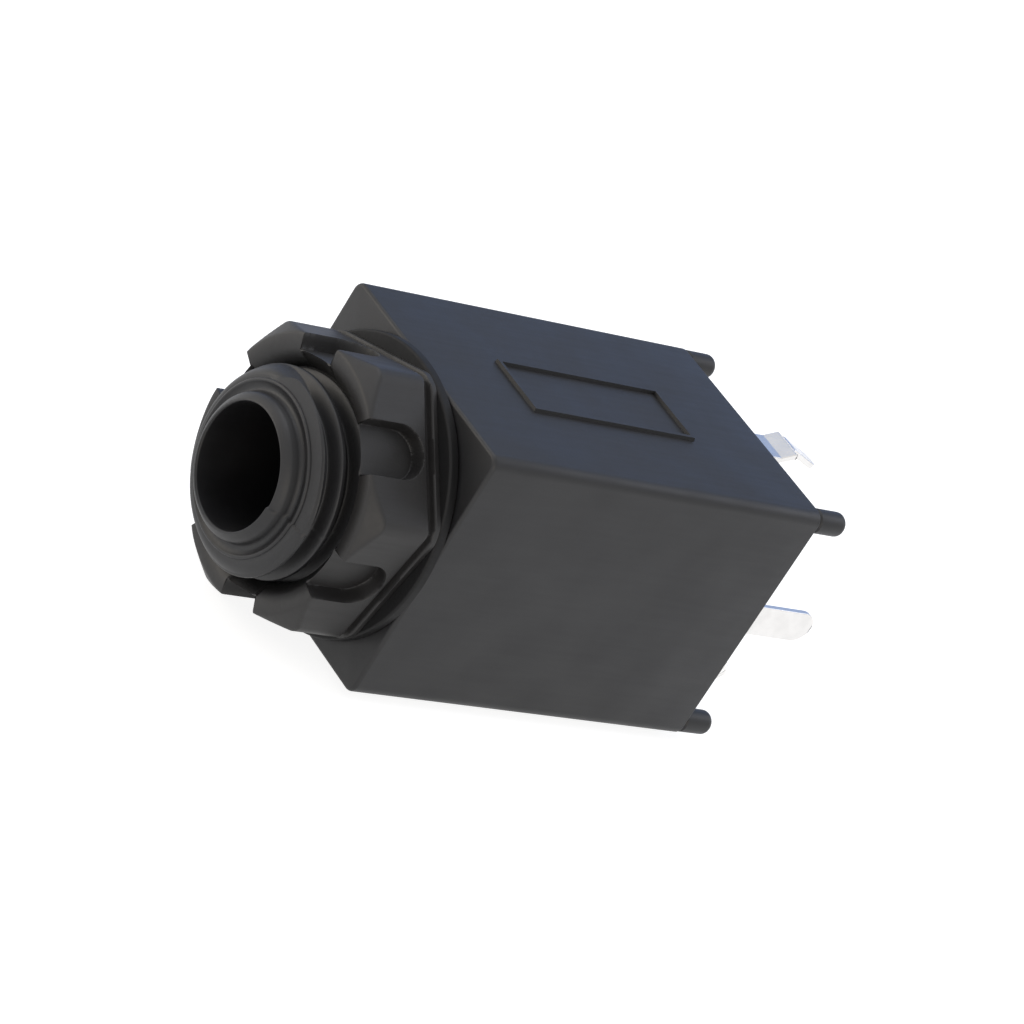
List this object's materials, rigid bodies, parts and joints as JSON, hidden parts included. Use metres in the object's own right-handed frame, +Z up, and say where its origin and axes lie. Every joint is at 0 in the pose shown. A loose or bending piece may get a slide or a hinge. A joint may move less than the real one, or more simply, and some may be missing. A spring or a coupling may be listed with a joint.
{
  "type": "panel jack socket",
  "caption": "Square-bodied panel jack socket with a threaded nose, slotted hexagon nut and washer, rear locating pegs and solder tags.",
  "frame": {"origin": "on the bore's axis, at the front face of the square body", "axes": "+Y from the nose towards the tags, +Z up through the side with the engraved frame, +X to the right seen from the front"},
  "size_m": [0.0164, 0.0371, 0.0164],
  "materials": {
    "moulded_black": "fine moulded texture",
    "washer_black": "satin",
    "nut_black": "fine moulded texture",
    "tinned_metal": "tin plated, satin",
    "spring_metal": "nickel plated, satin"
  },
  "bodies": {
    "housing": {"housing": "moulded_black", "rear_cover": "moulded_black", "tip_terminal": "tinned_metal", "ring_terminal": "tinned_metal", "sleeve_terminal": "tinned_metal", "tip_rivet": "tinned_metal", "ring_rivet": "tinned_metal", "sleeve_rivet": "tinned_metal"},
    "washer": {"panel_washer": "washer_black"},
    "nut": {"hex_nut": "nut_black"},
    "tip_leaf": {"tip_spring": "spring_metal"},
    "ring_leaf": {"ring_spring": "spring_metal"},
    "sleeve_leaf": {"sleeve_spring": "spring_metal"}
  },
  "joints": [
    {"name": "washer_slide", "type": "slide", "parent": "housing", "child": "washer", "axis": [0, -1, 0], "range_m": [0, 0.0054]},
    {"name": "nut_turn", "type": "hinge", "parent": "washer", "child": "nut", "pos_m": [0, -0.003, 0], "axis": [0, -1, 0], "range_deg": [0, 1440]},
    {"name": "tip_leaf_bend", "type": "hinge", "parent": "housing", "child": "tip_leaf", "pos_m": [0, 0.0093, 0.00618], "axis": [1, 0, 0], "range_deg": [0, 6.5], "stiffness_Nm_per_rad": 0.2},
    {"name": "ring_leaf_bend", "type": "hinge", "parent": "housing", "child": "ring_leaf", "pos_m": [0, 0.0046, -0.00618], "axis": [-1, 0, 0], "range_deg": [0, 3.6], "stiffness_Nm_per_rad": 0.2},
    {"name": "sleeve_leaf_bend", "type": "hinge", "parent": "housing", "child": "sleeve_leaf", "pos_m": [0.00618, 0.0134, 0], "axis": [0, 0, 1], "range_deg": [0, 2.8], "stiffness_Nm_per_rad": 0.2}
  ],
  "couplings": [
    {"joint": "nut_turn", "follows": "washer_slide", "rad_per_m": 4654.2}
  ]
}
